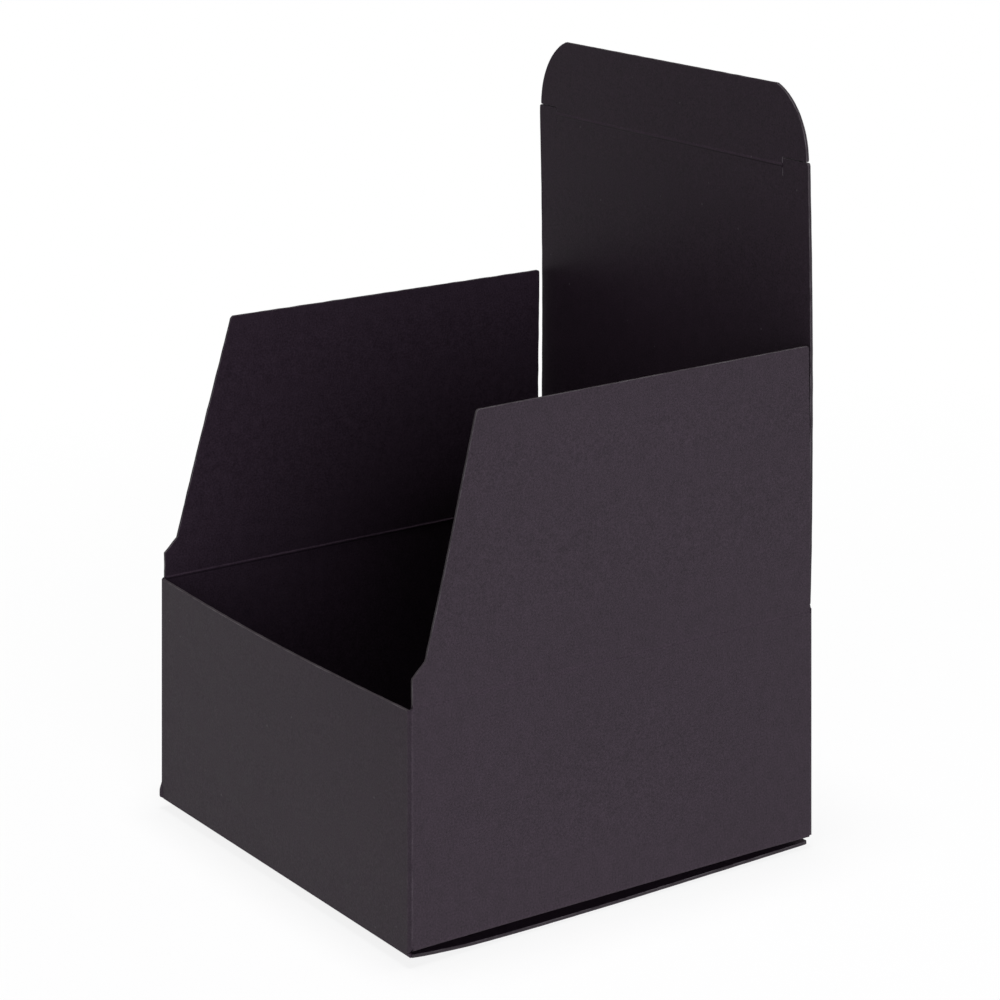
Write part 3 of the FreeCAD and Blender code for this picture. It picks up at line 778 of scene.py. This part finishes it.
# bottom dust flaps and the short folded feet of the side walls
LIFT = 2.4          # underside of the folded-in dust flaps
FLOOR_FLAP = Plane((0, 0, LIFT + H), (1, 0, 0), (0, 1, 0))
left_flap = [(-59.13, -49.85, "c"), (-58.1, -49.88, "c"), (-57.4, -50.3, "c"), (-0.3, -50.3, "c", 0.7), (-0.3, 34.3, "c", 0.9),
             (-50.2, 43.95, "c", 0.7), (-53.25, 47.0, "c", 0.4), (-59.13, 47.0, "j")]
right_flap = [(59.13, -49.85, "j"), (59.13, 47.0, "c"), (53.25, 47.0, "c", 0.4), (50.2, 43.95, "c", 0.7),
              (0.3, 34.3, "c", 0.9), (0.3, -50.3, "c", 0.7), (57.4, -50.3, "c"), (58.1, -49.88, "c")]
for word, sign, outline in (("left", -1, left_flap), ("right", 1, right_flap)):
    obj = sheet(word + "_bottom_dust_board", FLOOR_FLAP, outline, inner=1, seed=60 + sign,
                bend=lambda u, v: foot_rise(v))
    dress(obj, board, "board", word + "_bottom_dust_flap", ride=word + "_bottom_dust")
    # section in (x outward, z): from the wall foot round to the flap's edge
    outer_pts = np.array([(60.0, 3.7), (60.0, 3.5), (60.0, 3.2), (59.985, 2.95), (59.93, 2.76), (59.83, 2.58),
                          (59.66, 2.47), (59.5, 2.42), (59.32, 2.4), (59.13, 2.4)])
    inner_pts = np.array([(59.25, 3.7), (59.25, 3.6), (59.25, 3.48), (59.25, 3.38), (59.25, 3.3), (59.24, 3.23),
                          (59.22, 3.185), (59.2, 3.165), (59.17, 3.152), (59.13, 3.15)])
    section = np.vstack([outer_pts, inner_pts[::-1]])
    # only the length that carries the flap folds; the short ends beyond it stay with the wall
    for part, lo, hi, count in (("front_foot", -50.25, -49.95, 2), ("rear_foot", 47.0, 50.25, 5),
                                ("score", -49.95, 47.0, 48)):
        loop = section
        if part != "score":       # the ends stop clear of the crease axis
            loop = np.array([(60.0, 3.7), (60.0, 3.5), (60.0, 3.2), (59.985, 2.95), (59.93, 2.76), (59.83, 2.58),
                             (59.66, 2.47), (59.56, 2.43), (59.5, 2.42), (59.42, 2.42),
                             (59.36, 2.5), (59.34, 2.6), (59.34, 2.7), (59.34, 2.8), (59.34, 2.95), (59.34, 3.1),
                             (59.34, 3.25), (59.34, 3.4), (59.3, 3.55), (59.25, 3.7)])
        rings = [np.column_stack([sign * loop[:, 0], np.full(len(loop), y), loop[:, 1] + foot_rise(y)])
                 for y in np.linspace(lo, hi, count)]
        obj = tube(word + "_bottom_dust_" + part, rings, np.concatenate([np.zeros(10), np.ones(10)]))
        dress(obj, board_fold, "board_fold", word + "_bottom_dust_crease",
              ride=None if part == "score" else "sleeve")
    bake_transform(obj)

frame["nodes"]["seam_glue"].data.materials.clear()
frame["nodes"]["seam_glue"].data.materials.append(glue)

# ------------------------------------------------------------------ stage, light and camera
scene = bpy.context.scene
bpy.ops.mesh.primitive_circle_add(vertices=96, radius=6.0, fill_type="NGON", location=(0, 0, -0.0004))
floor = bpy.context.active_object
floor.name = "studio_floor"
floor_mat = bpy.data.materials.new("pale_floor")
floor_mat.use_nodes = True
fn, fl = floor_mat.node_tree.nodes, floor_mat.node_tree.links
fb = fn["Principled BSDF"]
fb.inputs["Roughness"].default_value = 0.9
fb.inputs["Specular IOR Level"].default_value = 0.1
grain_tex = fn.new("ShaderNodeTexNoise")
grain_tex.inputs["Scale"].default_value = 900.0
ramp = fn.new("ShaderNodeValToRGB")
ramp.color_ramp.elements[0].color = (0.93, 0.93, 0.93, 1)
ramp.color_ramp.elements[1].color = (0.96, 0.96, 0.96, 1)
fl.new(grain_tex.outputs["Fac"], ramp.inputs[0])
fl.new(ramp.outputs[0], fb.inputs["Base Color"])
glow = fn.new("ShaderNodeEmission")
glow.inputs["Strength"].default_value = 1.0
geo = fn.new("ShaderNodeTexCoord")
dist = fn.new("ShaderNodeVectorMath")
dist.operation = "LENGTH"
fl.new(geo.outputs["Object"], dist.inputs[0])
spread = fn.new("ShaderNodeMapRange")
spread.inputs["From Min"].default_value = 0.10
spread.inputs["From Max"].default_value = 0.45
spread.inputs["To Min"].default_value = 0.86
spread.inputs["To Max"].default_value = 1.0
fl.new(dist.outputs["Value"], spread.inputs["Value"])
blend_in = fn.new("ShaderNodeMixShader")
fl.new(spread.outputs[0], blend_in.inputs[0])
fl.new(fb.outputs[0], blend_in.inputs[1])
fl.new(glow.outputs[0], blend_in.inputs[2])
fl.new(blend_in.outputs[0], fn["Material Output"].inputs["Surface"])
floor.data.materials.append(floor_mat)

# the floor drops clear when the bottom panel swings down
curve = floor.driver_add("location", 2)
curve.driver.type = "SCRIPTED"
var = curve.driver.variables.new()
var.name = "swing"
var.type = "TRANSFORMS"
var.targets[0].id = frame["bodies"]["bottom"]
var.targets[0].transform_type = "ROT_X"
var.targets[0].transform_space = "WORLD_SPACE"
curve.driver.expression = "-0.0004 - 0.13 * min(1, abs(swing) * 2)"

SKY_LOW, SKY_HIGH = 1.0, 0.03
world = bpy.data.worlds.new("studio")
scene.world = world
world.use_nodes = True
wn, wl = world.node_tree.nodes, world.node_tree.links
sky = wn.new("ShaderNodeTexCoord")
height = wn.new("ShaderNodeSeparateXYZ")
fade = wn.new("ShaderNodeMapRange")
fade.interpolation_type = "SMOOTHSTEP"
for key, amount in (("From Min", 0.08), ("From Max", 0.45), ("To Min", SKY_LOW), ("To Max", SKY_HIGH)):
    fade.inputs[key].default_value = amount
wl.new(sky.outputs["Generated"], height.inputs[0])
wl.new(height.outputs["Z"], fade.inputs["Value"])
dim = wn.new("ShaderNodeMapRange")        # the room is darker in front of the carton
dim.interpolation_type = "SMOOTHSTEP"
for key, amount in (("From Min", -0.9), ("From Max", 0.1), ("To Min", 0.25), ("To Max", 1.0)):
    dim.inputs[key].default_value = amount
wl.new(height.outputs["Y"], dim.inputs["Value"])
both = wn.new("ShaderNodeMath")
both.operation = "MULTIPLY"
wl.new(fade.outputs[0], both.inputs[0])
wl.new(dim.outputs[0], both.inputs[1])
wl.new(both.outputs[0], wn["Background"].inputs["Strength"])
wn["Background"].inputs["Color"].default_value = (1, 1, 1, 1)


def area(name, location, target, size, power, colour=(1, 1, 1)):
    data = bpy.data.lights.new(name, "AREA")
    data.shape = "DISK"
    data.size = size
    data.energy = power
    data.color = colour
    o = bpy.data.objects.new(name, data)
    scene.collection.objects.link(o)
    o.location = location
    o.rotation_mode = "QUATERNION"
    o.rotation_quaternion = (Vector(target) - Vector(location)).to_track_quat("-Z", "Y")
    return o


area("key", (1.62, -0.42, 0.44), (0, 0, 0.09), 0.9, 15.0, (0.975, 0.965, 1.09))
area("top", (0, 0, 2.2), (0, 0, 0), 0.8, 40.0)

cam_data = bpy.data.cameras.new("camera")
cam = bpy.data.objects.new("camera", cam_data)
scene.collection.objects.link(cam)
scene.camera = cam
azimuth = math.radians(49.3088)
right = np.array([math.cos(azimuth), math.sin(azimuth)])
ahead = np.array([-math.sin(azimuth), math.cos(azimuth)])
eye = (145.120 * right - 748.624 * ahead) * MM
cam.rotation_mode = "XYZ"
cam.location = (eye[0], eye[1], 280.803 * MM)
cam.rotation_euler = (math.pi / 2, 0, azimuth)
cam_data.sensor_width = 36.0
cam_data.lens = 3230.62 / 1000 * 36.0
cam_data.clip_start, cam_data.clip_end = 0.02, 60.0
# the rise and shift of the lens hold for this camera's own place only
for path, amount in (("shift_x", -0.60783), ("shift_y", -0.88683)):
    setattr(cam_data, path, amount)
    curve = cam_data.driver_add(path)
    curve.driver.type = "SCRIPTED"
    var = curve.driver.variables.new()
    var.name = "mode"
    var.type = "SINGLE_PROP"
    var.targets[0].id_type = "OBJECT"
    var.targets[0].id = cam
    var.targets[0].data_path = "rotation_mode"
    curve.driver.expression = "%r if mode == 1 else 0.0" % amount

scene.view_settings.view_transform = "Standard"
scene.view_settings.look = "None"
scene.view_settings.exposure = 0.0
scene.view_settings.gamma = 1.0
